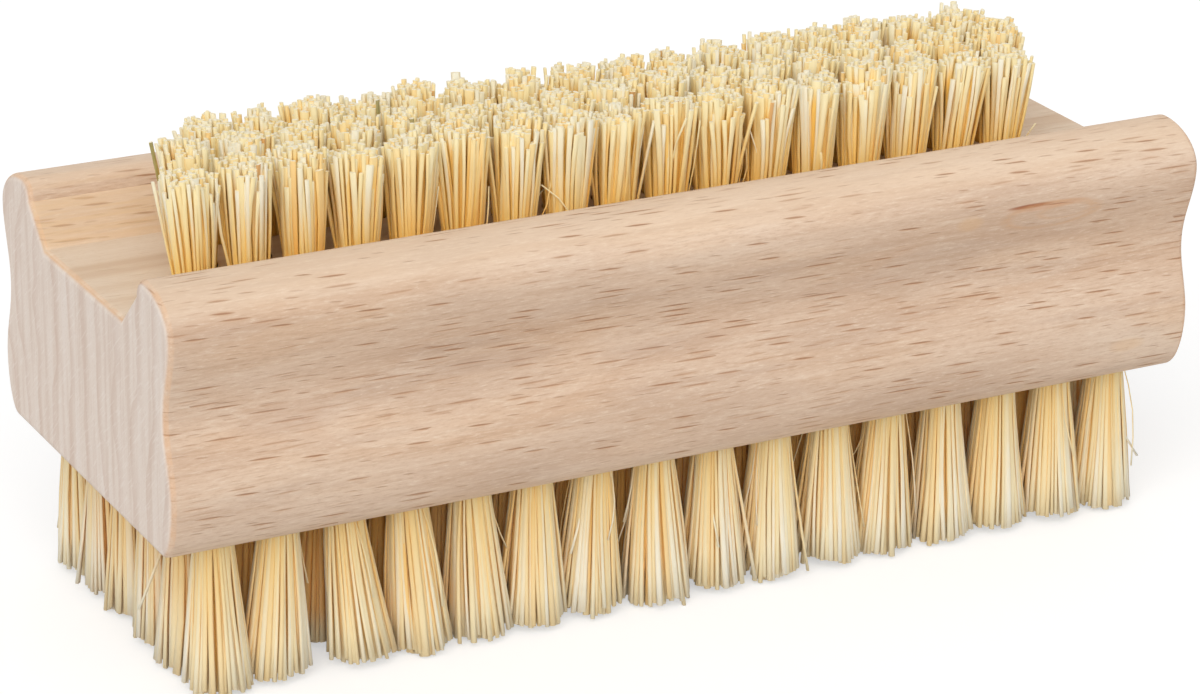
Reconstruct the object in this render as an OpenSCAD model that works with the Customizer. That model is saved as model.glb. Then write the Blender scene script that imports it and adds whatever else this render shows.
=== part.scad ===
// A two-sided nail brush: a shaped hardwood block with bristle tufts in a groove on top
// and a wider field of longer tufts below. All lengths are in millimetres.
// X runs along the block, Y across it and Z up. The lower bristle tips stand at Z = 0.

/* [Wooden block] */
// Length of the block
block_length = 95; // [80:1:120]
// Width across the two swellings of each side, where a hand feels it widest
block_width = 35.7; // [32:0.1:42]
// Height of the block from its underside to the top of the ridges
block_height = 22; // [20:0.5:28]
// How far the rounding of each lower edge reaches in under the block
lower_edge_reach = 2.35; // [1:0.05:3]
// Depth of the waist, the finger grip along each side
waist_depth = 1.35; // [0.6:0.05:2.5]
// Distance from each side of the block in to the top of its ridge
crest_inset = 5; // [4:0.1:6]
// Rounding on the inner edge of each ridge
crest_rounding = 1.6; // [1:0.1:2]
// Rounding of the sawn edges round both ends
end_rounding = 0.6; // [0.3:0.1:0.9]

/* [Groove] */
// Width of the groove's flat floor
groove_width = 16.4; // [15:0.1:18]
// Depth of the groove below the ridges
groove_depth = 4.7; // [3.5:0.1:6]

/* [Drilled holes] */
// Diameter of the holes that hold the tufts
hole_diameter = 3.3; // [2.8:0.1:3.6]
// Least wood left between an upper and a lower hole
wood_between_holes = 1.8; // [1.2:0.1:3]

/* [Upper bristles] */
// Length of the upper bristles above the groove's floor
top_length = 10.8; // [8:0.1:16]
// Distance from one tuft to the next along a row
top_pitch = 4.7; // [4.3:0.1:5.6]
// Distance from the groove's side to the middle of the nearest row
top_side_margin = 3; // [2.5:0.1:3.5]
// Least distance from the block's end to the first hole's centre
top_end_margin = 9; // [6:0.5:14]
// How far the front row is moved along the block from the middle row
front_row_shift = -2.4; // [-2.6:0.1:2.6]
// How far the back row is moved along the block from the middle
back_row_shift = 1.3; // [-2.6:0.1:2.6]

/* [Lower bristles] */
// Length of the lower bristles below the underside
bottom_length = 13.6; // [10:0.1:20]
// Distance from one tuft to the next along a row
bottom_pitch = 5.65; // [5:0.05:6.6]
// How far each row is moved along the block from the row in front of it
bottom_row_shift = -0.2; // [-0.6:0.1:0.6]
// Distance from the edge of the flat underside to the middle of the nearest row
bottom_side_margin = 3; // [2.5:0.1:3.5]
// Least distance from the block's end to the first hole's centre
bottom_end_margin = 4.4; // [3.5:0.1:9]

/* [Tufts] */
// Gap kept between the tips of neighbouring tufts
tip_gap = 0.5; // [0.4:0.1:1]
// How far the uneven bristle ends differ before they are trimmed
unevenness = 1.5; // [0.6:0.1:2.4]
// Depth of the flat cut that trims the longest bristles to one level
trim_depth = 0.5; // [0.3:0.1:0.9]

/* [Anchor wires] */
// Thickness of the flat wire that pins each tuft in its hole
wire_thickness = 0.4; // [0.3:0.05:0.6]
// Width of the flat wire, measured down the hole
wire_width = 1.8; // [1.2:0.1:2.4]

/* [Hidden] */

// Clearance round a tuft's root and a wire in their hole
root_clearance = 0.05;
// Overrun of a drill past the face that it enters
drill_overrun = 0.5;

// Heights of the side's widest and narrowest lines, as shares of the block's height
lower_swelling_share = 0.235;
waist_share = 0.536;
upper_swelling_share = 0.843;

// Facets along each curve of the outline, and round each drilled hole
curve_steps = 6;
end_steps = 2;
hole_sides = 12;

// Rows of tufts in the groove and under the block
top_rows = 3;
bottom_rows = 6;
// Strands that stand for the fibres of one tuft
top_strands = 4;
bottom_strands = 3;
// Thickness of a strand at its tip, as a share of its thickness at the wood
tip_share = 0.72;
// Outward lean of the tips over the whole field, as a share of the tuft's place in it
field_spread_share = 0.012;
// Wander of single tufts, as a share of the gap between tips
wander_share = 0.3;

underside_width = block_width - 2 * lower_edge_reach;
top_row_spacing = (groove_width - 2 * top_side_margin) / (top_rows - 1);
bottom_row_spacing = (underside_width - 2 * bottom_side_margin) / (bottom_rows - 1);

hole_radius = hole_diameter / 2;
root_radius = hole_radius * cos(180 / hole_sides) - root_clearance;
groove_floor = block_height - groove_depth;
hole_depth = (groove_floor - wood_between_holes) / 2;
root_depth = hole_depth - wire_width - 2 * root_clearance;
wire_length = 2 * sqrt(pow(root_radius, 2) - pow(wire_thickness / 2, 2));
underside_z = bottom_length;
groove_z = underside_z + groove_floor;

// A row of tufts: how many fit between the end margins
function row_count(margin, pitch) = floor((block_length - 2 * margin) / pitch) + 1;
function row_x(i, count, pitch, shift) = (i - (count - 1) / 2) * pitch + shift;
function row_y(row, rows, spacing) = (row - (rows - 1) / 2) * spacing;

top_count = row_count(top_end_margin, top_pitch);
bottom_count = row_count(bottom_end_margin, bottom_pitch);

// Places of the tufts in the three upper rows, front to back; the back row has one fewer
function top_places(row) =
    let (
        count = row < 2 ? top_count : top_count - 1,
        shift = row == 0 ? front_row_shift : row == 1 ? 0 : back_row_shift,
        y = row_y(row, top_rows, top_row_spacing)
    )
    [for (i = [0 : count - 1]) [row_x(i, count, top_pitch, shift), y]];

// Places of the tufts in the lower rows, which stand behind each other in slightly slanting columns
function bottom_places(row) =
    let (
        shift = (row - (bottom_rows - 1) / 2) * bottom_row_shift,
        y = row_y(row, bottom_rows, bottom_row_spacing)
    )
    [for (i = [0 : bottom_count - 1]) [row_x(i, bottom_count, bottom_pitch, shift), y]];

// Outline of the block, seen from its end, with the underside at zero height.
// A half outline runs from the underside round the side and over the ridge into the groove.
function arc_steps(from) = [for (k = [from : curve_steps]) 90 * k / curve_steps];
function blend(a, b, t) = a + (b - a) * (1 - cos(180 * t)) / 2;

half_outline =
    let (
        low = lower_swelling_share * block_height,
        waist = waist_share * block_height,
        high = upper_swelling_share * block_height,
        wide = block_width / 2,
        narrow = wide - waist_depth,
        foot = wide - lower_edge_reach,
        crest = wide - crest_inset
    )
    concat(
        [for (a = arc_steps(0)) [foot + (wide - foot) * sin(a), low * (1 - cos(a))]],
        [for (k = [1 : curve_steps]) let (t = k / curve_steps)
            [blend(wide, narrow, t), low + (waist - low) * t]],
        [for (k = [1 : curve_steps]) let (t = k / curve_steps)
            [blend(narrow, wide, t), waist + (high - waist) * t]],
        [for (a = arc_steps(1)) [crest + (wide - crest) * cos(a), high + (block_height - high) * sin(a)]],
        [for (a = arc_steps(1)) [
            crest - crest_rounding * sin(a),
            block_height - crest_rounding * (1 - cos(a))]],
        [[groove_width / 2, groove_floor]]
    );

half_count = len(half_outline);
outline = concat(
    half_outline,
    [for (i = [half_count - 1 : -1 : 0]) [-half_outline[i][0], half_outline[i][1]]]
);
outline_count = len(outline);
function mirrored(i) = outline_count - 1 - i;

// A sawn end as convex faces, because its outline is hollow at the waist and in the groove:
// strips across the block up to the waist, one on to the groove's floor, and a fan over each ridge
waist_point = 2 * curve_steps;
ridge_point = half_count - 2;
groove_point = half_count - 1;
ridge_faces = concat(
    [[waist_point, ridge_point, groove_point]],
    [for (i = [waist_point : ridge_point - 2]) [ridge_point, i, i + 1]]
);
end_faces = concat(
    [for (i = [0 : waist_point - 1]) [i, i + 1, mirrored(i + 1), mirrored(i)]],
    [[waist_point, groove_point, mirrored(groove_point), mirrored(waist_point)]],
    ridge_faces,
    [for (f = ridge_faces) [mirrored(f[2]), mirrored(f[1]), mirrored(f[0])]]
);

// The outline drawn in by a distance, with mitred corners
function unit(v) = v / norm(v);
function inward(a, b) = let (d = unit(b - a)) [-d[1], d[0]];
function drawn_in(distance) = [
    for (i = [0 : outline_count - 1])
    let (
        before = outline[(i + outline_count - 1) % outline_count],
        here = outline[i],
        after = outline[(i + 1) % outline_count],
        n1 = inward(before, here),
        n2 = inward(here, after)
    )
    here + distance * (n1 + n2) / (1 + n1 * n2)
];

// Sections along the block: how far each lies from the end and how much it is drawn in
ease = [for (k = [0 : end_steps]) let (a = 90 * k / end_steps)
    [end_rounding * (1 - cos(a)), end_rounding * (1 - sin(a))]];
sections = concat(
    [for (s = ease) [-block_length / 2 + s[0], s[1]]],
    [for (k = [end_steps : -1 : 0]) [block_length / 2 - ease[k][0], ease[k][1]]]
);

module block_blank() {
    points = [for (s = sections) for (p = drawn_in(s[1])) [s[0], p[0], p[1]]];
    last = (len(sections) - 1) * outline_count;
    sides = [
        for (s = [0 : len(sections) - 2])
        for (i = [0 : outline_count - 1])
        let (
            j = (i + 1) % outline_count,
            a = s * outline_count + i,
            b = s * outline_count + j,
            c = a + outline_count,
            d = b + outline_count
        )
        each [[a, c, d], [a, d, b]]
    ];
    far_faces = [for (f = end_faces) [for (k = [len(f) - 1 : -1 : 0]) last + f[k]]];
    polyhedron(points, concat(end_faces, far_faces, sides));
}

module upper_holes() {
    for (row = [0 : top_rows - 1]) {
        for (p = top_places(row)) {
            translate([p[0], p[1], groove_floor - hole_depth]) drilled_hole();
        }
    }
}

module lower_holes() {
    for (row = [0 : bottom_rows - 1]) {
        for (p = bottom_places(row)) {
            translate([p[0], p[1], -drill_overrun]) drilled_hole();
        }
    }
}

module drilled_hole() {
    cylinder(h = hole_depth + drill_overrun, r = hole_radius, $fn = hole_sides);
}

module wooden_block() {
    color("burlywood")
    translate([0, 0, underside_z])
    difference() {
        block_blank();
        upper_holes();
        lower_holes();
    }
}

// One tuft as a single closed skin: a root that fills the hole and strands that grow from it.
// The root's top is split into one four-sided patch per strand, all meeting in its middle, so
// neighbouring strands are joined at the wood and lean apart above it without crossing.
module tuft(strands, length, spread, lean, turn, ends) {
    rim = 2 * strands;
    ring = [for (i = [0 : rim - 1]) let (a = turn + 360 * i / rim) root_radius * [cos(a), sin(a)]];
    patch_centre = root_radius * (1 + 2 * cos(180 / strands)) / 4;
    tip_centre = spread / 2 - (root_radius - patch_centre) * tip_share;
    middle = 2 * rim;
    function patch(s) = [middle, rim + 2 * s, rim + 2 * s + 1, rim + (2 * s + 2) % rim];
    function flat(i) = i == middle ? [0, 0] : ring[i - rim];
    function tip(s, k) =
        let (a = turn + 360 * (s + 0.5) / strands, out = [cos(a), sin(a)])
        tip_centre * out + tip_share * (flat(patch(s)[k]) - patch_centre * out) + lean;
    // A bristle that would stand over the trimming level is cut there; the others fall short of it
    function tip_z(s) = min(length, length + trim_depth - unevenness * ends[s]);
    points = concat(
        [for (p = ring) [p[0], p[1], -root_depth]],
        [for (p = ring) [p[0], p[1], 0]],
        [[0, 0, 0]],
        [for (s = [0 : strands - 1]) for (k = [0 : 3]) let (p = tip(s, k)) [p[0], p[1], tip_z(s)]]
    );
    underneath = [for (i = [1 : rim - 2]) [0, i, i + 1]];
    wall = [
        for (i = [0 : rim - 1])
        let (j = (i + 1) % rim)
        each [[i, rim + i, rim + j], [i, rim + j, j]]
    ];
    shafts = [
        for (s = [0 : strands - 1])
        for (k = [0 : 3])
        let (
            n = (k + 1) % 4,
            first = middle + 1 + 4 * s,
            low = patch(s)
        )
        each [[low[k], first + k, first + n], [low[k], first + n, low[n]]]
    ];
    caps = [
        for (s = [0 : strands - 1])
        let (first = middle + 1 + 4 * s)
        each [[first, first + 2, first + 1], [first, first + 3, first + 2]]
    ];
    polyhedron(points, concat(underneath, wall, shafts, caps));
}

// A row of tufts at its places, each turned and leaning a little in its own way; spacing is the
// lesser distance to a neighbour, along the row or across to the next one
module tuft_row(places, strands, length, spacing, seed) {
    spread = spacing - tip_gap;
    wander = wander_share * tip_gap;
    chance = rands(0, 1, 3 * len(places), seed);
    for (i = [0 : len(places) - 1]) {
        p = places[i];
        lean = field_spread_share * p + wander * [chance[3 * i] - 0.5, chance[3 * i + 1] - 0.5];
        ends = rands(0, 1, strands, seed + i + 1);
        translate([p[0], p[1], 0]) {
            tuft(strands, length, spread, lean, 360 * chance[3 * i + 2], ends);
        }
    }
}

module upper_row(row) {
    color("wheat")
    translate([0, 0, groove_z])
    tuft_row(top_places(row), top_strands, top_length, min(top_pitch, top_row_spacing), 100 * (row + 1));
}

module lower_row(row) {
    color("khaki")
    translate([0, 0, underside_z])
    mirror([0, 0, 1])
    tuft_row(
        bottom_places(row), bottom_strands, bottom_length,
        min(bottom_pitch, bottom_row_spacing), 100 * (row + 5));
}

module top_tufts_front() { upper_row(0); }
module top_tufts_middle() { upper_row(1); }
module top_tufts_back() { upper_row(2); }
module bottom_tufts_row_1() { lower_row(0); }
module bottom_tufts_row_2() { lower_row(1); }
module bottom_tufts_row_3() { lower_row(2); }
module bottom_tufts_row_4() { lower_row(3); }
module bottom_tufts_row_5() { lower_row(4); }
module bottom_tufts_row_6() { lower_row(5); }

// The flat wire lies across the bottom of its hole, with the tuft's root against its edge
module anchor_wire() {
    translate([-wire_length / 2, -wire_thickness / 2, root_clearance]) {
        cube([wire_length, wire_thickness, wire_width]);
    }
}

module top_anchor_wires() {
    color("lightsteelblue")
    for (row = [0 : top_rows - 1]) {
        for (p = top_places(row)) {
            translate([p[0], p[1], groove_z - hole_depth]) anchor_wire();
        }
    }
}

module bottom_anchor_wires() {
    color("lightsteelblue")
    for (row = [0 : bottom_rows - 1]) {
        for (p = bottom_places(row)) {
            translate([p[0], p[1], underside_z + hole_depth - wire_width - 2 * root_clearance]) anchor_wire();
        }
    }
}

wooden_block();
top_tufts_front();
top_tufts_middle();
top_tufts_back();
bottom_tufts_row_1();
bottom_tufts_row_2();
bottom_tufts_row_3();
bottom_tufts_row_4();
bottom_tufts_row_5();
bottom_tufts_row_6();
top_anchor_wires();
bottom_anchor_wires();
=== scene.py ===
"""The dressed nail brush: a beech block, thousands of bristle fibres, soft light and the photo's camera.

Lengths are written in millimetres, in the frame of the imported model, and turned into metres where meshes
are made. Shades are written as they look on a screen, 0 to 255.
"""
import math

import bpy
import numpy as np
from mathutils import Matrix, Vector


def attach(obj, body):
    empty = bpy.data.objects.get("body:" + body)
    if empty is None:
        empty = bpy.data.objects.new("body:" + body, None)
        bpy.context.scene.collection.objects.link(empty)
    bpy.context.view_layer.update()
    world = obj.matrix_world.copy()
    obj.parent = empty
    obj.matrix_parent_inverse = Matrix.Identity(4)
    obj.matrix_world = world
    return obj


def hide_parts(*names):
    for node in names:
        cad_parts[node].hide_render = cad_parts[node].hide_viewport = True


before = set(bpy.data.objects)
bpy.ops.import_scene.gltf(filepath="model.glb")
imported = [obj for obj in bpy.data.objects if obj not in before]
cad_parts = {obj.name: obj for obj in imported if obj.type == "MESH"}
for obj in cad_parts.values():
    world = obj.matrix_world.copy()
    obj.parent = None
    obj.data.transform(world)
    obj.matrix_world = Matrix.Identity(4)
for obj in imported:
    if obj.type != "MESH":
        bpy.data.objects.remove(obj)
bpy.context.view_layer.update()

MM = 0.001
FULL_TURN = 2 * math.pi

# Sizes, as in the part's source
BLOCK_LENGTH, BLOCK_WIDTH, BLOCK_HEIGHT = 95.0, 35.7, 22.0
LOWER_EDGE_REACH, WAIST_DEPTH, CREST_INSET, CREST_ROUNDING = 2.35, 1.35, 5.0, 1.6
END_ROUNDING = 0.6
GROOVE_WIDTH, GROOVE_DEPTH = 16.4, 4.7
LOW_SHARE, WAIST_SHARE, HIGH_SHARE = 0.235, 0.536, 0.843
HOLE_RADIUS, WOOD_BETWEEN_HOLES = 1.65, 1.8
TOP_LENGTH, TOP_PITCH, TOP_SIDE_MARGIN = 10.8, 4.7, 3.0
TOP_COUNT, TOP_ROWS, FRONT_SHIFT, BACK_SHIFT = 17, 3, -2.4, 1.3
BOTTOM_LENGTH, BOTTOM_PITCH, BOTTOM_SIDE_MARGIN = 13.6, 5.65, 3.0
BOTTOM_COUNT, BOTTOM_ROWS, BOTTOM_ROW_SHIFT = 16, 6, -0.2

UNDERSIDE_Z = BOTTOM_LENGTH
GROOVE_FLOOR = BLOCK_HEIGHT - GROOVE_DEPTH
GROOVE_Z = UNDERSIDE_Z + GROOVE_FLOOR
RIDGE_Y = BLOCK_WIDTH / 2 - CREST_INSET - CREST_ROUNDING
HOLE_DEPTH = (GROOVE_FLOOR - WOOD_BETWEEN_HOLES) / 2
TOP_ROW_SPACING = GROOVE_WIDTH / 2 - TOP_SIDE_MARGIN
UNDERSIDE_WIDTH = BLOCK_WIDTH - 2 * LOWER_EDGE_REACH
BOTTOM_ROW_SPACING = (UNDERSIDE_WIDTH - 2 * BOTTOM_SIDE_MARGIN) / (BOTTOM_ROWS - 1)


def row_places(count, pitch, shift, y):
    return [((i - (count - 1) / 2) * pitch + shift, y) for i in range(count)]


def top_places(row):
    """The back row has one tuft fewer than the others."""
    count = TOP_COUNT if row < TOP_ROWS - 1 else TOP_COUNT - 1
    shift = (FRONT_SHIFT, 0.0, BACK_SHIFT)[row]
    return row_places(count, TOP_PITCH, shift, (row - 1) * TOP_ROW_SPACING)


def bottom_places(row):
    from_middle = row - (BOTTOM_ROWS - 1) / 2
    shift = from_middle * BOTTOM_ROW_SHIFT
    return row_places(BOTTOM_COUNT, BOTTOM_PITCH, shift, from_middle * BOTTOM_ROW_SPACING)


# Colours and node trees
def srgb(r, g, b):
    """A shade as the linear colour that shaders take."""
    def linear(c):
        c /= 255
        return c / 12.92 if c <= 0.04045 else ((c + 0.055) / 1.055) ** 2.4
    return linear(r), linear(g), linear(b), 1.0


class Tree:
    """Short names for building the nodes of a material or a world."""

    def __init__(self, owner):
        self.owner = owner
        owner.use_nodes = True
        self.nodes, self.links = owner.node_tree.nodes, owner.node_tree.links
        self.nodes.clear()

    def node(self, kind, inputs=None, **settings):
        made = self.nodes.new("ShaderNode" + kind)
        for key, value in settings.items():
            setattr(made, key, value)
        for key, value in (inputs or {}).items():
            self.feed(made.inputs[key], value)
        return made

    def feed(self, socket, value):
        if isinstance(value, bpy.types.NodeSocket):
            self.links.new(value, socket)
        else:
            socket.default_value = value

    def math(self, operation, *values, clamp=False):
        made = self.node("Math", operation=operation, use_clamp=clamp)
        for socket, value in zip(made.inputs, values):
            self.feed(socket, value)
        return made.outputs[0]

    def product(self, first, *others):
        for each in others:
            first = self.math("MULTIPLY", first, each)
        return first

    def vector(self, operation, *values):
        made = self.node("VectorMath", operation=operation)
        for socket, value in zip(made.inputs, values):
            self.feed(socket, value)
        return made.outputs[0]

    def scaled(self, vector, factor):
        return self.node("VectorMath", {0: vector, "Scale": factor}, operation="SCALE").outputs[0]

    def object_place(self):
        return self.node("TexCoord").outputs["Object"]

    def step(self, value, low, high, to_low=0.0, to_high=1.0):
        """A smooth step from to_low to to_high as value goes from low to high."""
        ends = {"Value": value, "From Min": low, "From Max": high, "To Min": to_low, "To Max": to_high}
        return self.node("MapRange", ends, interpolation_type="SMOOTHSTEP").outputs["Result"]

    def mix(self, share, a, b, blend="MIX"):
        made = self.node("Mix", data_type="RGBA", blend_type=blend)
        for socket, value in zip((made.inputs[0], made.inputs[6], made.inputs[7]), (share, a, b)):
            self.feed(socket, value)
        return made.outputs[2]

    def mix_numbers(self, share, a, b):
        made = self.node("Mix", data_type="FLOAT")
        for socket, value in zip((made.inputs[0], made.inputs[2], made.inputs[3]), (share, a, b)):
            self.feed(socket, value)
        return made.outputs[0]

    def cover(self, under, share, shade):
        """A shade over another colour."""
        return self.mix(share, under, srgb(*shade))

    def tint(self, under, value, low, high, share, shade):
        """A shade over another colour, from none of it up to a share as value goes from low to high."""
        return self.cover(under, self.step(value, low, high, 0.0, share), shade)

    def ramp(self, value, stops):
        made = self.node("ValToRGB")
        elements = made.color_ramp.elements
        while len(elements) < len(stops):
            elements.new(0.5)
        for element, (place, shade) in zip(elements, stops):
            element.position, element.color = place, srgb(*shade)
        self.feed(made.inputs[0], value)
        return made.outputs[0]

    def noise(self, where, detail=2.0, roughness=0.5):
        looks = {"Vector": where, "Scale": 1.0, "Detail": detail, "Roughness": roughness}
        return self.node("TexNoise", looks, noise_dimensions="3D").outputs["Fac"]

    def bump(self, height, distance, normal=None):
        made = self.node("Bump", {"Height": height, "Distance": distance, "Strength": 1.0})
        if normal is not None:
            self.feed(made.inputs["Normal"], normal)
        return made.outputs["Normal"]

    def show(self, shader, output="OutputMaterial"):
        """Makes a shader the one that is rendered."""
        self.feed(self.node(output).inputs["Surface"], shader.outputs[0])
        return self.owner

    def surface(self, **inputs):
        return self.show(self.node("BsdfPrincipled", {k.replace("_", " "): v for k, v in inputs.items()}))


def new_material(name):
    return Tree(bpy.data.materials.new(name))


# Beech
# The thickness of a year layer, and how far the layers wander
YEAR_LAYER, YEAR_WOBBLE = 3.3, 9.0
# Fleck kinds: the length and height of the cells that may hold one, the share that do, the half length and
# half height of a fleck, and the seed
LONG_FLECKS = dict(long=7.0, high=0.50, share=0.52, half_length=3.3, half_height=0.105, seed=3.0)
SHORT_FLECKS = dict(long=4.2, high=0.36, share=0.46, half_length=1.9, half_height=0.075, seed=7.0)
HALOS = {**LONG_FLECKS, "half_length": 3.4, "half_height": 0.22}

# Marks on the front side alone: their middle along and up, half size, the share they cover and shade
FRONT_STROKES = [
    ((30.3, 31.45), (2.7, 0.24), 0.95, (150, 86, 54)),
    ((32.0, 31.25), (4.8, 0.45), 0.45, (204, 146, 104)),
    ((24.4, 30.7), (1.6, 0.85), 0.40, (222, 182, 138)),
    ((41.3, 17.0), (2.2, 0.8), 0.35, (224, 184, 140)),
    ((-19.0, 25.6), (7.5, 1.1), 0.40, (190, 162, 142)),
    ((-4.0, 24.4), (8.5, 0.9), 0.30, (192, 164, 144)),
    ((-37.0, 24.0), (6.0, 1.6), 0.30, (196, 168, 148)),
    ((13.0, 26.6), (7.0, 1.0), 0.30, (196, 166, 144)),
]
# Lines where the grain turns: middle, half size, half thickness as a share of it, the share covered, shade
FRONT_LOOPS = [
    ((32.6, 30.35), (4.6, 1.15), 0.22, 0.50, (204, 156, 112)),
    ((34.0, 30.45), (2.6, 0.62), 0.30, 0.40, (206, 160, 118)),
]
# How far out, along and across, the painted golden light, as if bounced off the tufts, reaches on the wood
# among them
BOUNCE_LIGHT_REACH_X, BOUNCE_LIGHT_REACH_Y = 38.5, 14.5
# How far the saw marks on the ends slant, in radians, and how deep the wood's relief is, in metres
SAW_SLANT, WOOD_RELIEF = 0.75, 0.00005


def scattered_flecks(t, along_grain, across_grain, crowding, kind, seed):
    """Scattered flecks along the grain, 0 to 1: one in some cells of a grid whose rows are shifted."""
    most_shift = 17.0
    row = t.math("MULTIPLY_ADD", across_grain, 1 / kind["high"], seed)
    row_number = t.math("FLOOR", row)
    shift = t.node("TexWhiteNoise", {"W": row_number}, noise_dimensions="1D").outputs["Value"]
    column = t.math("ADD", t.product(along_grain, 1 / kind["long"]), t.product(shift, most_shift))
    cell = t.node("CombineXYZ", {"X": t.math("FLOOR", column), "Y": row_number, "Z": seed}).outputs[0]
    chance = t.node("TexWhiteNoise", {"Vector": cell}, noise_dimensions="3D")
    draws = t.node("SeparateColor", {"Color": chance.outputs["Color"]}).outputs
    most = kind["half_length"] / kind["long"]
    reach = t.step(draws[0], 0.0, 1.0, 0.40 * most, most)
    middle = t.step(draws[1], 0.0, 1.0, 0.40, 0.60)
    along = t.math("DIVIDE", t.math("SUBTRACT", t.math("FRACT", column), middle), reach)
    slant = t.product(along, t.step(draws[2], 0.0, 1.0, -0.08, 0.14))
    off = t.math("ADD", t.math("SUBTRACT", t.math("FRACT", row), 0.5), slant)
    across = t.math("DIVIDE", off, kind["half_height"] / kind["high"])
    inside = t.math("ADD", t.math("POWER", along, 2.0), t.math("ABSOLUTE", across))
    there = t.math("LESS_THAN", chance.outputs["Value"], t.product(crowding, kind["share"]))
    strength = t.step(draws[2], 0.0, 1.0, 0.30, 1.0)
    return t.product(t.step(inside, 1.0, 0.15), there, strength)


class Grain:
    """What the colours of the beech share: where a point is, which way it faces and the wood's figure.

    The year layers lie parallel to the sides, so the ends show upright lines and the sides broad figure.
    """

    def __init__(self, t):
        self.t = t
        self.place = t.scaled(t.object_place(), 1 / MM)
        self.x, self.y, self.z = t.node("SeparateXYZ", {"Vector": self.place}).outputs
        normal = t.node("NewGeometry").outputs["Normal"]
        facing_x, _, self.facing_z = t.node("SeparateXYZ", {"Vector": normal}).outputs
        self.from_middle = t.math("ABSOLUTE", self.y)
        self.endwise = t.math("ABSOLUTE", facing_x)
        self.levelness = t.math("ABSOLUTE", self.facing_z)
        self.level = t.step(self.levelness, 0.72, 0.84)
        self.ends = t.step(self.endwise, 0.70, 0.97)

        wobble = t.product(t.math("SUBTRACT", self.noise(0.030, 0.05, 0.085, 1.5), 0.5), YEAR_WOBBLE)
        year = t.math("FRACT", t.math("DIVIDE", t.math("ADD", self.y, wobble), YEAR_LAYER))
        self.late_wood = t.product(t.step(year, 0.55, 0.94), t.step(year, 1.0, 0.95))
        self.woolly = self.noise(0.95, 6.5, 6.5, 3.0, 0.7)
        self.lines = self.noise(0.10, 2.4, 2.4, 3.0, 0.6)

        self.crowding = t.step(self.noise(0.035, 0.15, 0.16, 1.0), 0.36, 0.62, 0.50, 1.35)
        # the short flecks are fainter than the long ones
        faint = t.product(self.flecks_of(SHORT_FLECKS), 0.65)
        self.flecks = t.math("MAXIMUM", self.flecks_of(LONG_FLECKS), faint)

    def noise(self, x, y, z, detail=2.0, roughness=0.5):
        """Noise with its own fineness along each axis, in turns per millimetre."""
        return self.t.noise(self.t.vector("MULTIPLY", self.place, (x, y, z)), detail, roughness)

    def flecks_of(self, kind):
        """Flecks on upright faces by height, and on level ones by width."""
        seed = kind["seed"]
        upright = scattered_flecks(self.t, self.x, self.z, self.crowding, kind, seed)
        level = scattered_flecks(self.t, self.x, self.y, self.crowding, kind, seed + 0.5)
        return self.t.mix_numbers(self.level, upright, level)


def side_colour(t, grain):
    """The long sides and crests, which show the year layers broadly."""
    bands = grain.noise(0.045, 0.55, 0.60, 2.0)
    patches = grain.noise(0.035, 0.10, 0.13, 2.0)
    hue = grain.noise(0.060, 0.20, 0.24, 1.0)
    side = t.ramp(patches, [(0.30, (206, 178, 155)), (0.50, (218, 190, 166)), (0.72, (226, 202, 180))])
    side = t.tint(side, hue, 0.46, 0.72, 0.36, (226, 190, 156))
    side = t.tint(side, bands, 0.50, 0.30, 0.36, (194, 167, 147))
    side = t.tint(side, bands, 0.54, 0.74, 0.30, (234, 212, 192))
    side = t.cover(side, t.product(grain.late_wood, 0.28), (203, 165, 134))
    side = t.tint(side, grain.lines, 0.50, 0.70, 0.34, (192, 158, 130))
    side = t.tint(side, grain.lines, 0.46, 0.28, 0.30, (236, 216, 194))
    side = t.tint(side, grain.woolly, 0.50, 0.30, 0.50, (194, 160, 132))
    side = t.tint(side, grain.woolly, 0.52, 0.72, 0.45, (238, 220, 200))
    # painted highlight: faces that lie level, the crests among them, are painted paler
    side = t.tint(side, grain.levelness, 0.35, 0.95, 0.42, (243, 217, 188))
    side = t.cover(side, t.product(grain.flecks_of(HALOS), 0.20), (214, 160, 112))
    return t.cover(side, t.product(grain.flecks, 0.82), (160, 112, 78))


def squared_distance(t, grain, middle, half_size):
    """How far a point lies from a mark's middle, squared: 1 on the edge of the mark's oval."""
    squares = [t.math("POWER", t.math("MULTIPLY_ADD", place, 1 / half, -centre / half), 2.0)
               for place, centre, half in zip((grain.x, grain.z), middle, half_size)]
    return t.math("ADD", *squares)


def with_front_marks(t, grain, side):
    """The side's colour with the strokes and loops that stand out on the front."""
    front = t.math("LESS_THAN", grain.y, 0.0)
    for middle, half_size, share, shade in FRONT_STROKES:
        stroke = t.step(squared_distance(t, grain, middle, half_size), 1.0, 0.1)
        side = t.cover(side, t.product(stroke, front, share), shade)
    for middle, half_size, half_line, share, shade in FRONT_LOOPS:
        distance = t.math("SQRT", squared_distance(t, grain, middle, half_size))
        line = t.step(t.math("ABSOLUTE", t.math("SUBTRACT", distance, 1.0)), half_line, 0.0)
        broken = t.step(grain.woolly, 0.30, 0.62, 0.0, share)
        side = t.cover(side, t.product(line, front, broken), shade)
    return side


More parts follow.
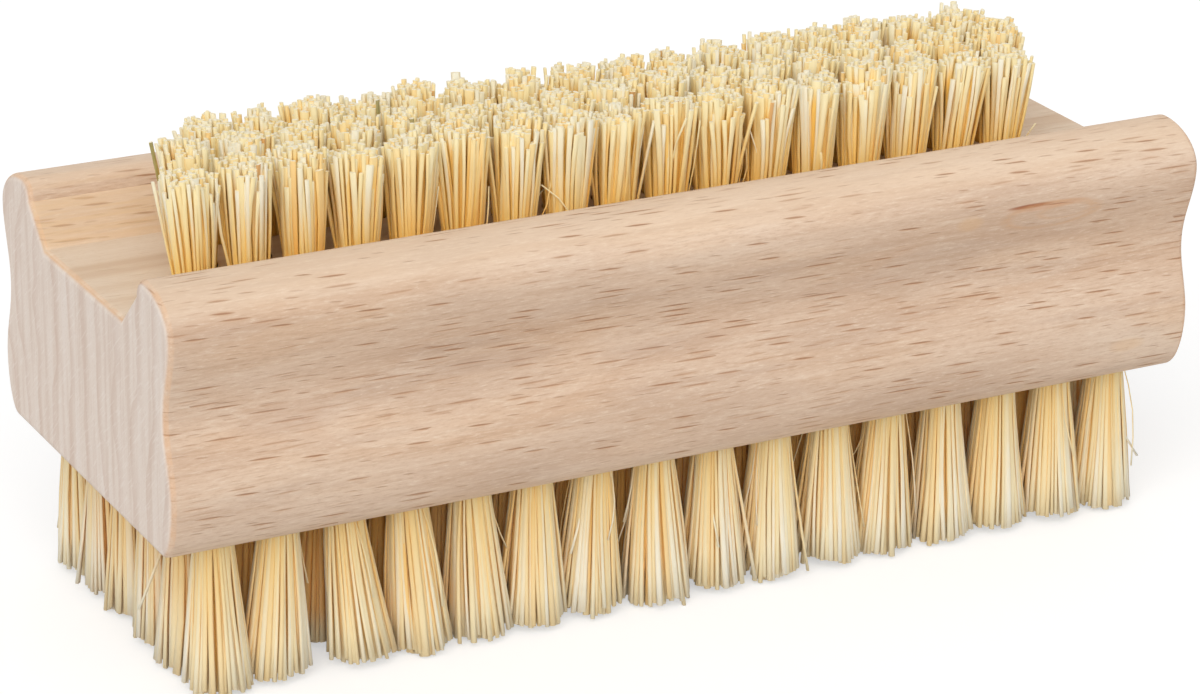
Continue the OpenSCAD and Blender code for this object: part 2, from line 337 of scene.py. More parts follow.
def with_groove(t, grain, side):
    """The side's colour with the groove's warm walls and pale floor, and painted golden bounce light on the
    wood among the tufts.
    """
    # the floor is cut across the year layers: paler and yellower, in straight stripes
    stripes = grain.noise(0.012, 0.55, 0.2, 3.0)
    floor = t.ramp(stripes, [(0.32, (218, 190, 162)), (0.52, (230, 208, 184)), (0.75, (236, 217, 196))])
    floor = t.tint(floor, grain.woolly, 0.50, 0.30, 0.35, (208, 176, 140))
    floor = t.cover(floor, t.product(grain.flecks, 0.30), (196, 150, 106))
    # the slanting walls are warmer, with darker streaks
    slanting = t.product(t.step(grain.facing_z, 0.45, 0.62), t.step(grain.facing_z, 0.93, 0.80))
    walls = t.product(slanting, t.step(grain.from_middle, RIDGE_Y + 0.65, RIDGE_Y - 0.05))
    streaks = t.step(grain.lines, 0.35, 0.65, 0.30, 0.75)
    side = t.cover(side, t.product(walls, streaks), (222, 190, 152))

    half_groove = GROOVE_WIDTH / 2
    in_groove = t.product(grain.level, t.step(grain.from_middle, half_groove + 1.0, half_groove + 0.4))
    colour = t.mix(in_groove, side, floor)
    # painted light: between the tufts, above and below, the wood is tinted golden as if by light bounced off
    # them
    painted_bounce_light = t.product(t.step(t.math("ABSOLUTE", grain.x), BOUNCE_LIGHT_REACH_X, BOUNCE_LIGHT_REACH_X - 3.5),
                      t.step(grain.from_middle, BOUNCE_LIGHT_REACH_Y, BOUNCE_LIGHT_REACH_Y - 1.0))
    underneath = t.step(grain.z, UNDERSIDE_Z + 0.4, UNDERSIDE_Z + 0.1)
    painted_bounce_light = t.product(painted_bounce_light, t.math("MAXIMUM", in_groove, underneath), 0.38)
    return t.cover(colour, painted_bounce_light, (232, 184, 120))


def end_colour(t, grain, pores, saw_marks):
    """The sawn ends: upright year lines, woolly fibre ends and faint slanting saw marks."""
    upright_lines = grain.noise(0.0, 0.9, 0.05, 3.0, 0.6)
    end = t.ramp(upright_lines, [(0.34, (220, 201, 187)), (0.52, (230, 215, 203)), (0.72, (233, 220, 210))])
    end = t.cover(end, t.product(grain.late_wood, 0.42), (206, 179, 162))
    end = t.tint(end, pores, 0.48, 0.28, 0.35, (205, 182, 167))
    return t.tint(end, saw_marks, 0.52, 0.72, 0.35, (243, 234, 226))


def beech():
    t = new_material("beech")
    grain = Grain(t)
    pores = grain.noise(0.0, 6.5, 3.2, 2.0, 0.7)
    turn = {"Vector": grain.place, "Angle": SAW_SLANT}
    slanted = t.node("VectorRotate", turn, rotation_type="X_AXIS").outputs[0]
    saw_marks = t.noise(t.vector("MULTIPLY", slanted, (0.0, 0.5, 5.0)))

    side = with_front_marks(t, grain, side_colour(t, grain))
    colour = t.mix(grain.ends, with_groove(t, grain, side), end_colour(t, grain, pores, saw_marks))
    # the broken edge round each end is warmer, here and there
    rim = t.product(t.step(grain.endwise, 0.06, 0.30), t.math("SUBTRACT", 1.0, grain.ends),
                    t.step(grain.noise(0.5, 0.9, 0.9, 2.0), 0.35, 0.65, 0.05, 0.35))
    colour = t.cover(colour, rim, (221, 170, 124))

    height = t.math("SUBTRACT", t.product(grain.woolly, 0.6), t.product(grain.flecks, 0.7))
    end_height = t.math("ADD", t.product(pores, 0.5), t.product(saw_marks, 0.5))
    normal = t.bump(t.mix_numbers(grain.ends, height, end_height), WOOD_RELIEF)
    roughness = t.step(grain.woolly, 0.2, 0.8, 0.52, 0.66)
    return t.surface(Base_Color=colour, Roughness=roughness, Normal=normal, Specular_IOR_Level=0.35)


# Bristle and wire
# A fibre's tone picks its shade: a rare green or brown one, then golden to cream
GREEN, BROWN, PALE = 0.0, 0.07, 0.95
TOP_SHADES = [(GREEN, (138, 134, 84)), (BROWN, (204, 148, 88)), (0.15, (242, 200, 130)),
              (0.35, (245, 213, 148)), (0.62, (244, 227, 174)), (0.84, (243, 233, 194)),
              (1.0, (240, 236, 216))]
BOTTOM_SHADES = [(GREEN, (138, 134, 84)), (BROWN, (204, 148, 88)), (0.15, (242, 206, 146)),
                 (0.35, (243, 217, 164)), (0.62, (242, 227, 186)), (0.82, (242, 233, 204)),
                 (1.0, (242, 237, 219))]
# Painted shade: the colour multiplied in towards the wood, and the golden one laid between and inside the
# tufts
TOP_PAINTED_ROOT_SHADE, BOTTOM_PAINTED_ROOT_SHADE = (255, 223, 142), (255, 240, 206)
TOP_PAINTED_GAP_SHADE, BOTTOM_PAINTED_GAP_SHADE, INNER_PAINTED_GAP_SHADE = (255, 204, 84), (255, 200, 92), (246, 174, 62)
TOP_SHEEN, BOTTOM_SHEEN = (1.0, 0.84, 0.50, 1.0), (1.0, 0.93, 0.76, 1.0)
CUT_SHADE, CUT_SPECKLE_SHADE = (245, 238, 216), (244, 229, 192)
# How far a fibre looks round itself for others, and how deep the relief is, in metres
GAP_SEARCH, FIBRE_RELIEF, CUT_RELIEF = 0.0025, 0.00002, 0.00003
# How fine the figure is along x, y and z, in turns per metre
FIBRE_STREAKS, CUT_SPECKLES = (5200.0, 5200.0, 260.0), (4200.0, 4200.0, 4200.0)
DRAWN_LINES = (400.0, 6000.0, 6000.0)


def rounded_normal(t):
    """Neighbouring fibres pass light on to each other, so a tuft's outside shades like one rounded body."""
    body = t.node("Attribute", attribute_name="outward").outputs["Vector"]
    normal = t.node("NewGeometry").outputs["Normal"]
    facing_out = t.node("VectorMath", {0: normal, 1: body}, operation="DOT_PRODUCT").outputs["Value"]
    pull = t.scaled(body, t.math("MAXIMUM", facing_out, 0.0))
    return t.vector("NORMALIZE", t.vector("ADD", normal, pull))


def bristle(name, shades, painted_root_shade, painted_gap_shade, sheen_tint):
    """Plant fibre: each has its own tone, with painted shade making it warmer towards the wood and inside its
    tuft, and painted light at its thin edges.
    """
    t = new_material(name)
    tone, along, inside, edge = (t.node("Attribute", attribute_name=each).outputs["Fac"]
                                 for each in ("tone", "along", "inside", "edge"))
    streaks = t.noise(t.vector("MULTIPLY", t.object_place(), FIBRE_STREAKS))
    colour = t.tint(t.ramp(tone, shades), streaks, 0.35, 0.75, 0.25, (243, 214, 158))
    # painted shade: darker and warmer towards the wood
    colour = t.mix(t.step(along, 0.0, 0.85, 1.0, 0.0), colour, srgb(*painted_root_shade), blend="MULTIPLY")
    # painted shade: golden inside each tuft, fading out near the tips
    colour = t.cover(colour, t.product(inside, t.step(along, 1.0, 0.75), 0.85), painted_gap_shade)
    # painted light: warmer where light would go through the thin edge of a fibre
    colour = t.cover(colour, t.product(edge, t.step(along, 0.4, 1.0, 0.32, 0.08)), painted_gap_shade)
    # painted shade: deep between the fibres, golden, standing in for light that has bounced off many of them
    open_share = t.node("AmbientOcclusion", {"Distance": GAP_SEARCH}, samples=4).outputs["AO"]
    golden = t.product(t.step(open_share, 0.42, 0.05), t.step(along, 1.0, 0.65, 0.30, 0.9))
    colour = t.cover(colour, golden, painted_gap_shade)
    normal = t.bump(streaks, FIBRE_RELIEF, rounded_normal(t))
    return t.surface(Base_Color=colour, Roughness=0.5, Normal=normal, Specular_IOR_Level=0.2,
                     Sheen_Weight=0.5, Sheen_Roughness=0.6, Sheen_Tint=sheen_tint)


def cut_end(name):
    """The trimmed ends of the fibres, a little paler than their sides."""
    t = new_material(name)
    speckle = t.noise(t.vector("MULTIPLY", t.object_place(), CUT_SPECKLES))
    colour = t.mix(t.step(speckle, 0.35, 0.7), srgb(*CUT_SHADE), srgb(*CUT_SPECKLE_SHADE))
    return t.surface(Base_Color=colour, Roughness=0.7, Normal=t.bump(speckle, CUT_RELIEF))


def wire():
    t = new_material("anchor_wire")
    drawn = t.noise(t.vector("MULTIPLY", t.object_place(), DRAWN_LINES))
    colour = t.mix(t.step(drawn, 0.3, 0.7), srgb(176, 178, 184), srgb(214, 215, 220))
    return t.surface(Base_Color=colour, Metallic=1.0, Roughness=t.step(drawn, 0.2, 0.8, 0.28, 0.42))


# The block
SHARP_ANGLE = math.radians(38)


def add_object(name, vertices, faces, materials):
    mesh = bpy.data.meshes.new(name)
    mesh.from_pydata((np.asarray(vertices, float) * MM).tolist(), [], faces)
    mesh.validate()
    for each in materials:
        mesh.materials.append(each)
    made = bpy.data.objects.new(name, mesh)
    bpy.context.scene.collection.objects.link(made)
    return made


def half_outline(steps):
    """Half of the block's outline from its end, from the underside round the side into the groove."""
    wide = BLOCK_WIDTH / 2
    narrow, foot, crest = wide - WAIST_DEPTH, wide - LOWER_EDGE_REACH, wide - CREST_INSET
    low, waist, high = LOW_SHARE * BLOCK_HEIGHT, WAIST_SHARE * BLOCK_HEIGHT, HIGH_SHARE * BLOCK_HEIGHT
    crest_rise = BLOCK_HEIGHT - high

    def blend(a, b, share):
        return a + (b - a) * (1 - math.cos(math.pi * share)) / 2

    shares = [k / steps for k in range(1, steps + 1)]
    arcs = [math.pi / 2 * share for share in shares]
    points = [(foot, 0.0)]
    points += [(foot + (wide - foot) * math.sin(a), low * (1 - math.cos(a))) for a in arcs]
    points += [(blend(wide, narrow, s), low + (waist - low) * s) for s in shares]
    points += [(blend(narrow, wide, s), waist + (high - waist) * s) for s in shares]
    points += [(crest + (wide - crest) * math.cos(a), high + crest_rise * math.sin(a)) for a in arcs]
    points += [(crest - CREST_ROUNDING * math.sin(a), BLOCK_HEIGHT - CREST_ROUNDING * (1 - math.cos(a)))
               for a in arcs]
    return points + [(GROOVE_WIDTH / 2, GROOVE_FLOOR)]


def drawn_in(outline, distance):
    """The outline moved inwards by a distance, with mitred corners."""
    places = np.array(outline)
    before, after = places - np.roll(places, 1, axis=0), np.roll(places, -1, axis=0) - places

    def inward(d):
        d = d / np.linalg.norm(d, axis=1, keepdims=True)
        return np.stack([-d[:, 1], d[:, 0]], axis=1)

    n1, n2 = inward(before), inward(after)
    return places + distance * (n1 + n2) / (1 + (n1 * n2).sum(axis=1, keepdims=True))


def block_sections(ease_steps, length_steps):
    """Where the outline stands along the block, and how far it is drawn in there to round the sawn edges."""
    ease = [math.pi / 2 * k / ease_steps for k in range(ease_steps + 1)]
    sections = [(-BLOCK_LENGTH / 2 + END_ROUNDING * (1 - math.cos(a)), END_ROUNDING * (1 - math.sin(a)))
                for a in ease]
    flat = BLOCK_LENGTH - 2 * END_ROUNDING
    sections += [(-flat / 2 + flat * k / length_steps, 0.0) for k in range(1, length_steps)]
    return sections + [(-x, inset) for x, inset in reversed(sections[:ease_steps + 1])]


def block_end(steps, count):
    """One end as strips across and a fan over each ridge, because its outline is hollow."""
    half_count = count // 2
    waist, ridge, groove = 2 * steps, half_count - 2, half_count - 1

    def mirror(i):
        return count - 1 - i

    over_ridge = [(waist, ridge, groove)] + [(ridge, i, i + 1) for i in range(waist, ridge - 1)]
    end = [(i, i + 1, mirror(i + 1), mirror(i)) for i in range(waist)]
    end.append((waist, groove, mirror(groove), mirror(waist)))
    return end + over_ridge + [tuple(mirror(i) for i in reversed(f)) for f in over_ridge]


def block_mesh(material):
    steps = 12
    half = half_outline(steps)
    outline = half + [(-y, z) for y, z in reversed(half)]
    count = len(outline)
    sections = block_sections(ease_steps=5, length_steps=24)
    vertices = [(x, y, z + UNDERSIDE_Z) for x, inset in sections for y, z in drawn_in(outline, inset)]
    faces = []
    for s in range(len(sections) - 1):
        for i in range(count):
            a, b = s * count + i, s * count + (i + 1) % count
            faces.append((a, a + count, b + count, b))
    end, last = block_end(steps, count), (len(sections) - 1) * count
    faces += [tuple(reversed(f)) for f in end] + [tuple(last + i for i in f) for f in end]
    return add_object("beech_block", vertices, faces, [material])


def drill_body(x, y, z, way, first):
    """One drill with a wider mouth. way is 1 from the groove and -1 from below; first is its first vertex."""
    sides, mouth, flare = 20, 0.06, 0.15
    rings = [(-HOLE_DEPTH, HOLE_RADIUS), (-flare, HOLE_RADIUS), (0.0, HOLE_RADIUS + mouth),
             (flare, HOLE_RADIUS + mouth)]
    vertices = []
    for depth, radius in rings:
        for k in range(sides):
            a = FULL_TURN * k / sides
            vertices.append((x + radius * math.cos(a), y + radius * math.sin(a), z + way * depth))
    faces = []
    for ring in range(len(rings) - 1):
        for k in range(sides):
            n = (k + 1) % sides
            a, b = first + ring * sides, first + (ring + 1) * sides
            faces.append((a + k, a + n, b + n, b + k))
    faces.append(tuple(first + k for k in reversed(range(sides))))
    faces.append(tuple(first + (len(rings) - 1) * sides + k for k in range(sides)))
    return vertices, faces if way > 0 else [tuple(reversed(f)) for f in faces]


def drill(block, material):
    """Takes the drilled holes out of the block, each with its mouth opened a little by the drill."""
    holes = [(x, y, GROOVE_Z, 1) for row in range(TOP_ROWS) for x, y in top_places(row)]
    holes += [(x, y, UNDERSIDE_Z, -1) for row in range(BOTTOM_ROWS) for x, y in bottom_places(row)]
    vertices, faces = [], []
    for x, y, z, way in holes:
        made_vertices, made_faces = drill_body(x, y, z, way, len(vertices))
        vertices += made_vertices
        faces += made_faces
    drills = add_object("drills", vertices, faces, [material])
    cut = block.modifiers.new("cut", "BOOLEAN")
    cut.object, cut.operation, cut.solver = drills, "DIFFERENCE", "EXACT"
    cut.use_self = False
    bpy.context.view_layer.update()
    shaped = bpy.data.meshes.new_from_object(block.evaluated_get(bpy.context.evaluated_depsgraph_get()))
    block.modifiers.clear()
    block.data = shaped
    bpy.data.objects.remove(drills)


def smooth_shading(piece):
    """Smooth over the curves, with sharp edges kept and flat faces left flat."""
    mesh = piece.data
    mesh.polygons.foreach_set("use_smooth", [True] * len(mesh.polygons))
    mesh.set_sharp_from_angle(angle=SHARP_ANGLE)
    weighted = piece.modifiers.new("flat_faces_first", "WEIGHTED_NORMAL")
    weighted.keep_sharp = True


# Bristles
# How far a fibre goes on into its hole, and its thickness at the root as a share of that at the tip
SUNK, ROOT_FULLNESS = 2.0, 0.64
# Above 1, a fibre leans out more towards its tip
LEAN_CURVE = 1.12
# How far the tips lean out for each millimetre that their tuft stands off the middle
FIELD_SPREAD = 0.012
# How fast painted shade turns fibres golden towards their tuft's middle, and how much further strays wander
# and bow
INWARD_PAINTED_SHADE, STRAY_WILDNESS = 2.4, 5.0
TOP_SEED, BOTTOM_SEED = 40, 60

# The chance that a fibre is green, that it is green or brown, and the tones of the others
GREEN_CHANCE, RARE_CHANCE, RARE_BROWN = 0.0006, 0.0025, 0.08
GOLDEN_TONES, CREAM_TONES, LOWEST_CREAM, CLUMP_TONE_SPREAD = (0.2, 0.45), (0.5, 1.0), 0.3, 0.10

# How fibres stand and are cut. Drops are how much shorter a fibre is than its row is long. Ranges, and the
# sizes of ribbons and strays, are shares of the usual size, apart from the reach of loose fibres
SHARED_STYLE = {
    "sides": 6, "segments": 4, "corner_turn": 0.0, "painted_shade_when_hidden": 0.0, "golden": 0.06, "clumps": 8,
    "place_jitter": 0.25, "width_range": (0.6, 1.30), "depth_range": (0.60, 0.85), "tip_range": (0.92, 1.08),
    "ribbon_width": 1.6, "loose_reach": (0.3, 0.9), "turn": 0.25, "twist": 0.3,
    "stray_width": 0.4, "stray_depth": 0.3, "stray_rise": (0.45, 0.95),
}
TOP_STYLE = {
    **SHARED_STYLE, "outer_fibres": 36, "rings": 5, "width": 0.47, "ribbons": 0.08, "loose": 0.06,
    "strays": 1.2, "tip_radius": 2.1, "wander": 0.12, "bow": 0.11, "tuft_lean": 0.12, "clump_lean": 0.22,
    "unevenness": 0.32, "tuft_unevenness": 0.5, "outer_drop": 1.9, "clump_drop": 0.50, "most_drop": 3.2,
}
BOTTOM_STYLE = {
    **SHARED_STYLE, "outer_fibres": 43, "rings": 6, "width": 0.48, "ribbons": 0.10, "loose": 0.03,
    "strays": 2.2, "tip_radius": 2.7, "wander": 0.06, "bow": 0.08, "tuft_lean": 0.14, "clump_lean": 0.12,
    "unevenness": 0.20, "tuft_unevenness": 0.3, "outer_drop": 0.45, "clump_drop": 0.30, "most_drop": 2.2,
}
# The rows between the outer ones, of which little shows, have plainer fibres, warmer with more painted shade
INNER_STYLE = {**BOTTOM_STYLE, "sides": 4, "segments": 3, "corner_turn": 0.5, "width": 0.50, "painted_shade_when_hidden": 0.7,
               "strays": 0.0}

# Fibres that stand out in the photo, by row: tuft number, root, tip and bow across it, rise, width and tone
TOP_SINGLES = (
    [(1, (-1.5, -0.8), (-3.3, -1.3), (-0.5, 0.0), 9.6, 0.36, PALE),
     (1, (0.0, -0.8), (0.0, -1.95), (0.0, 0.0), 10.5, 0.55, BROWN)],
    [(0, (-1.6, 0.5), (-3.2, 1.4), (0.0, 0.0), 10.4, 0.50, GREEN),
     (4, (-1.4, -0.6), (-3.0, -0.8), (-0.4, 0.0), 8.8, 0.32, PALE)],
    [(3, (0.6, -1.4), (-0.2, -1.7), (0.0, 0.0), 10.4, 0.50, GREEN)],
)
BOTTOM_SINGLES = {1: [(0, (-1.3, -0.8), (-4.5, -1.0), (0.0, 0.0), 7.6, 0.40, PALE)]}
# How far the tips of single lower tufts stand to the right, by row and tuft number
BOTTOM_LEANING = {row: {0: 0.8 + 0.1 * row} for row in range(BOTTOM_ROWS)}
BOTTOM_LEANING[0].update({2: 1.7, 3: 1.2, 4: 0.9})


def fibre_tone(chance, clump_tone, style):
    """A fibre's tone, 0 to 1: mostly cream, some golden, and a rare brown or green one."""
    draw = chance.random()
    if draw < GREEN_CHANCE:
        return GREEN
    if draw < RARE_CHANCE:
        return RARE_BROWN
    if draw < style["golden"]:
        return chance.uniform(*GOLDEN_TONES)
    return min(max(chance.uniform(*CREAM_TONES) + clump_tone, LOWEST_CREAM), 1.0)


def fibre(foot, root, tip, bow, levels, rise, width, depth, turned, corner):
    """One fibre's rings from root to tip. On the way it leans, bows and turns a little."""
    share = np.maximum(levels, 0.0)[:, None]
    line = np.array(foot[:2]) + root + (tip - root) * share ** LEAN_CURVE + bow * np.sin(math.pi * share)
    full = 0.5 * (ROOT_FULLNESS + (1.0 - ROOT_FULLNESS) * share)
    round_x, round_y = width * full * np.cos(corner), depth * full * np.sin(corner)
    turned = turned[0] + turned[1] * share
    x = line[:, :1] + round_x * np.cos(turned) - round_y * np.sin(turned)
    y = line[:, 1:] + round_x * np.sin(turned) + round_y * np.cos(turned)
    z = np.broadcast_to(foot[2] + rise * levels[:, None], x.shape)
    return np.stack([x, y, z], axis=2).reshape(-1, 3)


def fibre_spots(style, chance):
    """Where a tuft's fibres stand: their share of its radius, their angle, and whether they are strays."""
    rings = style["rings"]
    spots = []
    for ring in range(rings):
        share = 1.0 - ring / rings
        number = round(style["outer_fibres"] * share)
        start = chance.uniform(0.0, FULL_TURN)
        for k in range(number):
            place = k + chance.uniform(-style["place_jitter"], style["place_jitter"])
            spots.append((share, start + FULL_TURN * place / number, False))
    strays = int(chance.poisson(style["strays"]))
    return spots + [(1.0, chance.uniform(0.0, FULL_TURN), True) for _ in range(strays)]


def tuft(foot, way, length, style, chance, levels, corner, leaning, painted_shade_when_hidden):
    """One tuft's fibres, in rings round its middle, with the flat side of each facing out."""
    lean = chance.normal(0.0, style["tuft_lean"], 2) + np.array(foot[:2]) * FIELD_SPREAD + leaning
    shorter = chance.uniform(0.0, style["tuft_unevenness"])
    # fibres stick together in clumps, which share a lean, a length and a tone
    clumps = style["clumps"]
    clump_place = chance.uniform(-1.0, 1.0, (clumps, 2))
    clump_lean = chance.normal(0.0, style["clump_lean"], (clumps, 2))
    clump_drop = np.abs(chance.normal(0.0, style["clump_drop"], clumps))
    clump_tone = chance.normal(0.0, CLUMP_TONE_SPREAD, clumps)
    made, about = [], []
    for share, angle, stray in fibre_spots(style, chance):
        wild = STRAY_WILDNESS if stray else 1.0
        outward = np.array([math.cos(angle), math.sin(angle)])
        clump = int(np.argmin(((clump_place - share * outward) ** 2).sum(axis=1)))
        width = style["width"] * chance.uniform(*style["width_range"])
        if stray:
            width *= style["stray_width"]
        elif chance.random() < style["ribbons"]:
            width *= style["ribbon_width"]
        depth = style["width"] * (style["stray_depth"] if stray else chance.uniform(*style["depth_range"]))
        root = (HOLE_RADIUS - 0.5 * depth) * share * outward
        spread = style["tip_radius"] * share * outward * chance.uniform(*style["tip_range"])
        tip = spread + lean + clump_lean[clump] + chance.normal(0.0, style["wander"] * wild, 2)
        if share == 1.0 and chance.random() < style["loose"]:
            tip = tip + outward * chance.uniform(*style["loose_reach"])
        bow = chance.normal(0.0, style["bow"] * wild, 2)
        drop = shorter + clump_drop[clump] + abs(chance.normal(0.0, style["unevenness"]))
        drop += style["outer_drop"] * share ** 4 * chance.random() ** 2
        rise = length - min(drop, style["most_drop"])
        if stray:
            rise *= chance.uniform(*style["stray_rise"])
        turned = (angle + math.pi / 2 + chance.normal(0.0, style["turn"]), chance.normal(0.0, style["twist"]))
        made.append(fibre(foot, root, tip, bow, levels, way * rise, width, depth, turned, corner))
        # a fibre's share of painted shade, more towards its tuft's middle, and some all along in hidden tufts
        inside = min(max(INWARD_PAINTED_SHADE * (1.0 - share), painted_shade_when_hidden), 1.0)
        about.append((fibre_tone(chance, clump_tone[clump], style), inside, *outward, 0.0))
    return made, about


def single_fibre(foot, way, levels, corner, root, tip, bow, rise, width):
    """A fibre at a listed place, flat and turned a little on its way."""
    flatness, twist = 0.5, 0.6
    return fibre(foot, np.array(root), np.array(tip), np.array(bow), levels, way * rise, width,
                 flatness * width, (0.0, twist), corner)


def fibre_faces(sides, rings, way):
    """The faces of one closed fibre: its sides, then its root and last its cut end."""
    corners, last = range(sides), (rings - 1) * sides
    faces = [(a + s, a + (s + 1) % sides, a + sides + (s + 1) % sides, a + sides + s)
             for a in range(0, last, sides) for s in corners]
    faces += [tuple(reversed(corners)), tuple(last + s for s in corners)]
    return faces if way > 0 else [tuple(reversed(f)) for f in faces]


def mark_fibres(mesh, count, levels, corner, about):
    """What the bristle material reads at each vertex. about holds each fibre's tone, its share of painted
    shade (inside) and outward.
    """
    sides, rings = len(corner), len(levels)
    along = np.tile(np.repeat(np.maximum(levels, 0.0), sides), count)
    edge = np.tile(np.clip(2 * np.abs(np.cos(corner)) - 1, 0.0, 1.0), count * rings)
    about = np.repeat(np.array(about), rings * sides, axis=0)
    for label, values in (("tone", about[:, 0]), ("inside", about[:, 1]), ("along", along), ("edge", edge)):
        mesh.attributes.new(label, "FLOAT", "POINT").data.foreach_set("value", values)
    outward = mesh.attributes.new("outward", "FLOAT_VECTOR", "POINT")
    outward.data.foreach_set("vector", about[:, 2:].ravel())


def fibre_row(name, places, base_z, way, length, style, seed, materials, leaning=None, singles=()):
    """One row of tufts as separate closed fibres. way is 1 for bristles that point up and -1 for down."""
    chance = np.random.default_rng(seed)
    sides = style["sides"]
    levels = np.concatenate([[-SUNK / length], np.linspace(0.0, 1.0, style["segments"] + 1)])
    corner = FULL_TURN * (np.arange(sides) + style["corner_turn"]) / sides
    vertices, about = [], []
    for number, (x, y) in enumerate(places):
        lean = np.array([(leaning or {}).get(number, 0.0), 0.0])
        # tufts between the row's ends take painted shade all along
        painted_shade_when_hidden = style["painted_shade_when_hidden"] if 0 < number < len(places) - 1 else 0.0
        made, about_made = tuft((x, y, base_z), way, length, style, chance, levels, corner, lean, painted_shade_when_hidden)
        vertices += made
        about += about_made
    for number, root, tip, bow, rise, width, tone in singles:
        foot = (*places[number], base_z)
        vertices.append(single_fibre(foot, way, levels, corner, root, tip, bow, rise, width))
        about.append((tone, 0.0, 0.0, -1.0, 0.0))
    count = len(vertices)
    one, size = fibre_faces(sides, len(levels), way), len(levels) * sides
    faces = [tuple(i + first for i in f) for first in range(0, count * size, size) for f in one]
    piece = add_object(name, np.concatenate(vertices), faces, materials)
    cut = np.tile(np.arange(len(one)) == len(one) - 1, count)
    piece.data.polygons.foreach_set("material_index", cut.astype(np.int32))
    piece.data.polygons.foreach_set("use_smooth", ~cut)
    mark_fibres(piece.data, count, levels, corner, about)
    return piece


# The dressed pieces
wood = beech()
block = block_mesh(wood)
drill(block, wood)
smooth_shading(block)
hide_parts("wooden_block")
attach(block, "root")

top_bristle = bristle("top_bristle", TOP_SHADES, TOP_PAINTED_ROOT_SHADE, TOP_PAINTED_GAP_SHADE, TOP_SHEEN)
bottom_bristle = bristle("bottom_bristle", BOTTOM_SHADES, BOTTOM_PAINTED_ROOT_SHADE, BOTTOM_PAINTED_GAP_SHADE, BOTTOM_SHEEN)
inner_bristle = bristle("inner_bristle", BOTTOM_SHADES, BOTTOM_PAINTED_ROOT_SHADE, INNER_PAINTED_GAP_SHADE, BOTTOM_SHEEN)
top_cut, bottom_cut = cut_end("top_bristle_cut"), cut_end("bottom_bristle_cut")

for row, node in enumerate(("top_tufts_front", "top_tufts_middle", "top_tufts_back")):
    piece = fibre_row("fibres_" + node, top_places(row), GROOVE_Z, 1, TOP_LENGTH, TOP_STYLE, TOP_SEED + row,
                      [top_bristle, top_cut], singles=TOP_SINGLES[row])
    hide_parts(node)
    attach(piece, "root")
for row in range(BOTTOM_ROWS):
    node = f"bottom_tufts_row_{row + 1}"
    outer = row in (0, BOTTOM_ROWS - 1)
    style, bristles = (BOTTOM_STYLE, bottom_bristle) if outer else (INNER_STYLE, inner_bristle)
    piece = fibre_row("fibres_" + node, bottom_places(row), UNDERSIDE_Z, -1, BOTTOM_LENGTH, style,
                      BOTTOM_SEED + row, [bristles, bottom_cut], BOTTOM_LEANING[row],
                      BOTTOM_SINGLES.get(row, ()))
    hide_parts(node)
    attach(piece, "root")

steel = wire()
for node in ("top_anchor_wires", "bottom_anchor_wires"):
    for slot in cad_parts[node].material_slots:
        slot.material = steel

# Floor and light
WHITE = (1.0, 1.0, 1.0, 1.0)
HALF_FLOOR, FLOOR_SHADE, FLOOR_GLOW = 3000.0, 0.60, 0.51
WORLD_LIGHT, KEY_LIGHT, FILL_LIGHT, END_LIGHT = 0.58, 1.52, 0.33, 0.23
KEY_SPREAD, FILL_SPREAD = 55, 50


def is_seen(t):
    """1 for rays from the camera, and for mirror and glass rays, else 0."""
    path = t.node("LightPath")
    seen = path.outputs["Is Camera Ray"]
    for ray in ("Is Glossy Ray", "Is Transmission Ray"):
        seen = t.math("ADD", seen, path.outputs[ray], clamp=True)
    return seen


def pale_floor():
    """A floor that looks white in the picture and keeps the brush's shadow."""
    t = new_material("pale_floor")
    diffuse = t.node("BsdfDiffuse", {"Color": (FLOOR_SHADE, FLOOR_SHADE, FLOOR_SHADE, 1.0)})
    glow = t.node("Emission", {"Color": WHITE, "Strength": t.product(is_seen(t), FLOOR_GLOW)})
    return t.show(t.node("AddShader", {0: diffuse.outputs[0], 1: glow.outputs[0]}))


def studio():
    """A plain world that looks white in the picture, and lights the brush less brightly than it looks."""
    t = Tree(bpy.data.worlds.new("studio"))
    strength = t.node("MapRange", {"Value": is_seen(t), "To Min": WORLD_LIGHT, "To Max": 1.0})
    background = t.node("Background", {"Color": WHITE, "Strength": strength.outputs["Result"]})
    return t.show(background, "OutputWorld")


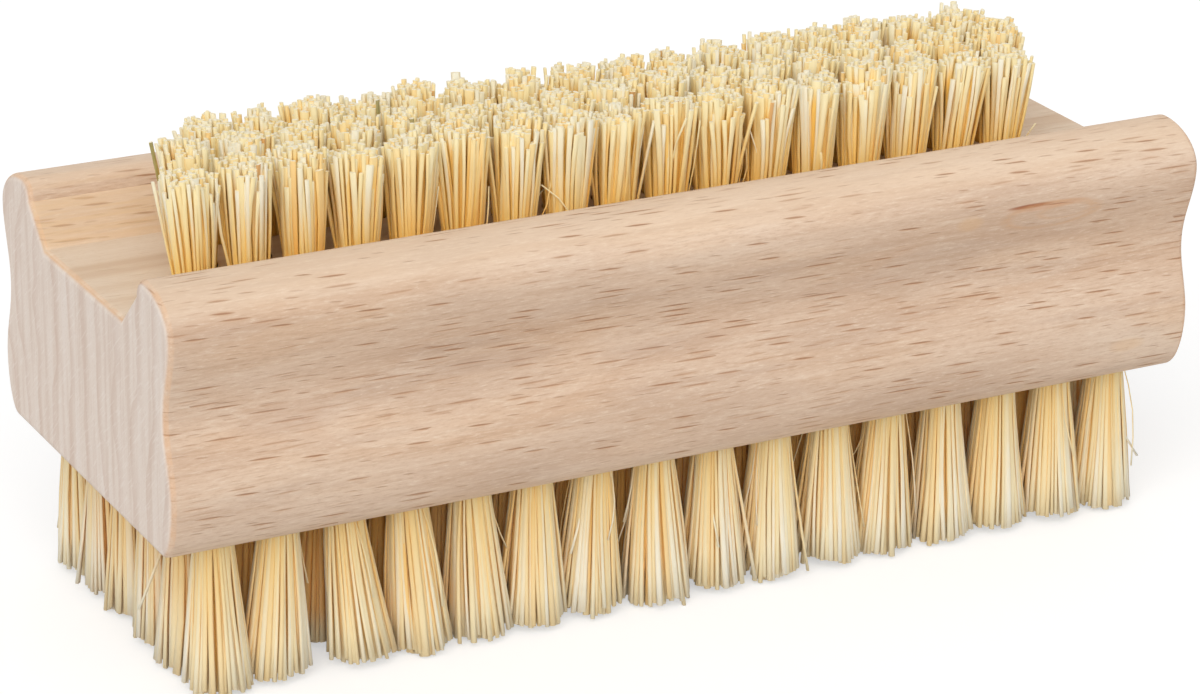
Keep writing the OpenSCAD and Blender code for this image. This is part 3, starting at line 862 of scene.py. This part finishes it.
def soft_light(name, energy, spread, towards, colour):
    data = bpy.data.lights.new(name, "SUN")
    data.energy, data.angle, data.color = energy, math.radians(spread), colour
    light = bpy.data.objects.new(name, data)
    light.rotation_mode = "QUATERNION"
    light.rotation_quaternion = Vector(towards).to_track_quat("Z", "Y")
    bpy.context.scene.collection.objects.link(light)


corners = [(-HALF_FLOOR, -HALF_FLOOR, 0), (HALF_FLOOR, -HALF_FLOOR, 0), (HALF_FLOOR, HALF_FLOOR, 0),
           (-HALF_FLOOR, HALF_FLOOR, 0)]
floor = add_object("floor", corners, [(0, 1, 2, 3)], [pale_floor()])
bpy.context.scene.world = studio()
soft_light("key_light", KEY_LIGHT, KEY_SPREAD, (-0.62, -0.80, 0.78), (1.0, 0.985, 0.96))
soft_light("front_fill", FILL_LIGHT, FILL_SPREAD, (-0.12, -1.0, 0.20), (1.0, 0.98, 0.95))
soft_light("end_fill", END_LIGHT, FILL_SPREAD, (-1.0, -0.20, 0.12), (1.0, 1.0, 1.0))

# The camera, fitted to the block's edges in the photo
AZIMUTH, ELEVATION, ROLL = (math.radians(a) for a in (-28.679, 21.990, 1.364))
DISTANCE, ASIDE, BELOW, AIM_HEIGHT = 346.9, -0.82, -7.61, 25.6
LENS, SENSOR, NEAREST, FURTHEST = 123.207, 36.0, 0.01, 20.0


def photo_camera():
    back = Vector((math.sin(AZIMUTH) * math.cos(ELEVATION), -math.cos(AZIMUTH) * math.cos(ELEVATION),
                   math.sin(ELEVATION)))
    level = Vector((math.cos(AZIMUTH), math.sin(AZIMUTH), 0.0))
    upright = back.cross(level)
    right = level * math.cos(ROLL) + upright * math.sin(ROLL)
    up = upright * math.cos(ROLL) - level * math.sin(ROLL)
    aim = right * ASIDE + up * BELOW + Vector((0.0, 0.0, AIM_HEIGHT))
    data = bpy.data.cameras.new("photo_camera")
    data.lens, data.sensor_width, data.sensor_fit = LENS, SENSOR, "HORIZONTAL"
    data.clip_start, data.clip_end = NEAREST, FURTHEST
    camera = bpy.data.objects.new("photo_camera", data)
    turned = Matrix((right, up, back)).transposed().to_4x4()
    camera.matrix_world = Matrix.Translation((aim + back * DISTANCE) * MM) @ turned
    bpy.context.scene.collection.objects.link(camera)
    return camera


bpy.context.scene.camera = photo_camera()
bpy.context.scene.view_settings.view_transform = "Standard"
